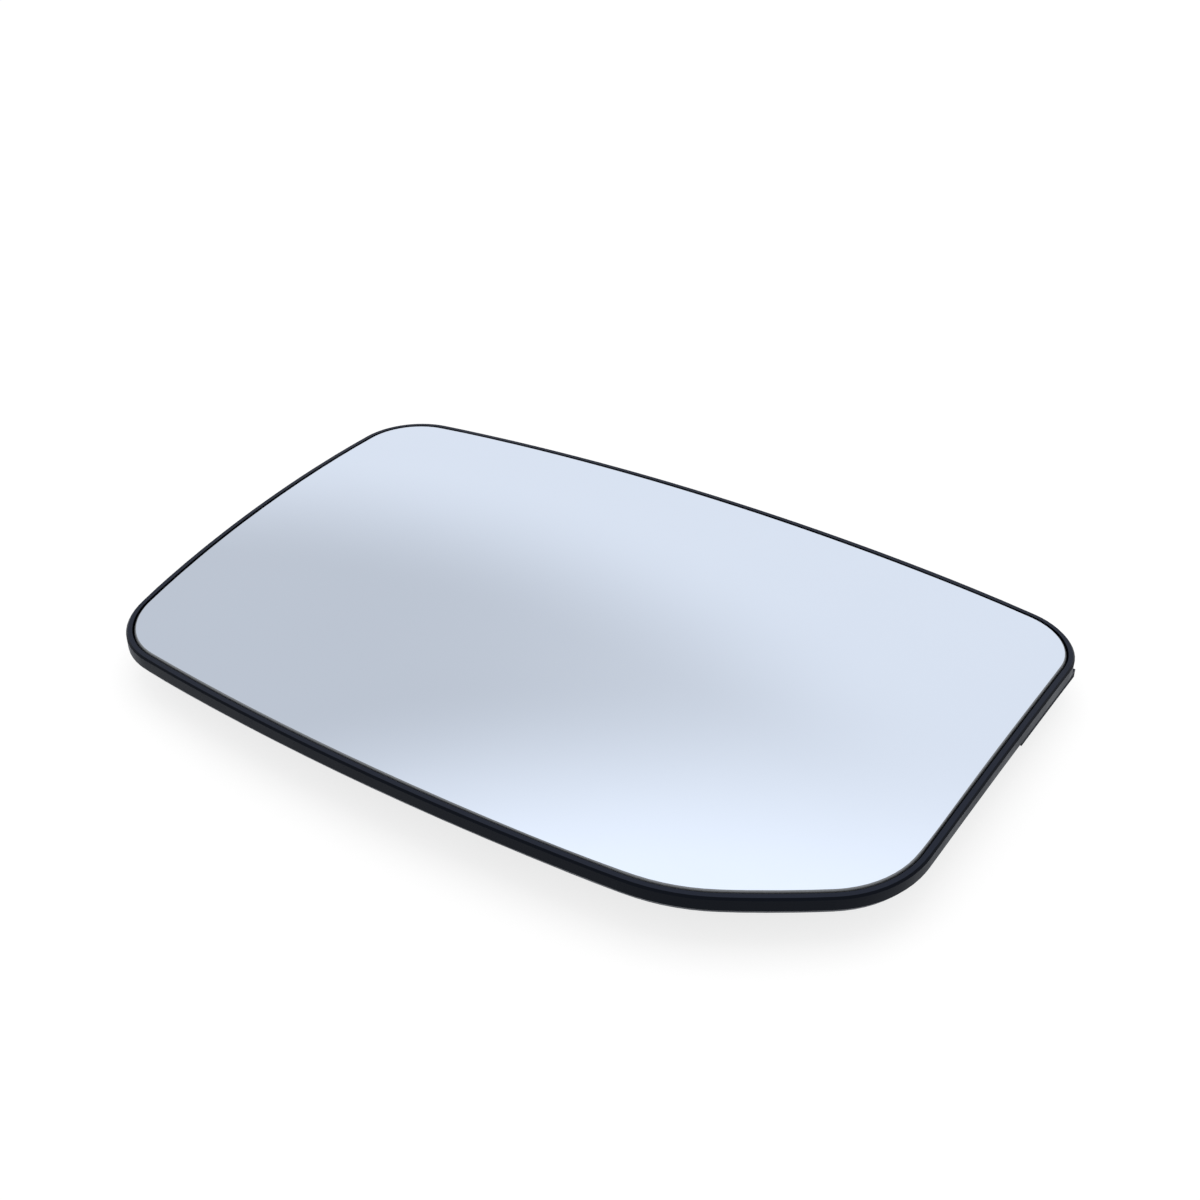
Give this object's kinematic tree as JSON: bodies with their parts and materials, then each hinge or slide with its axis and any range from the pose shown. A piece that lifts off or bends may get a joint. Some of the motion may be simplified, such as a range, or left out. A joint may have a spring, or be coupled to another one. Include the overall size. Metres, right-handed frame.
{
  "type": "car door mirror glass",
  "caption": "Convex car door mirror glass with a cut lower inner corner, bonded into a black moulded backing plate that clips onto the mirror's actuator by a ring of snap tongues.",
  "frame": {"origin": "on the axis of the clip ring, which is the middle of the outline's box, in the plane of the ring's end face that the part rests on", "axes": "+Z out of the glass along the clip ring's axis, +X along the length of the glass towards its inner, cut-corner end, +Y towards its top edge"},
  "size_m": [0.1858, 0.1236, 0.0151],
  "materials": {
    "silvered_glass": "polished convex glass with a mirror coating on its front face and a ground edge",
    "adhesive_sheet": "matt black double-sided foam adhesive sheet",
    "black_plastic": "injection-moulded satin black plastic with a fine grain"
  },
  "bodies": {
    "root": {"mirror_glass": "silvered_glass", "bonding_pad": "adhesive_sheet", "backing_plate": "black_plastic"}
  },
  "joints": []
}
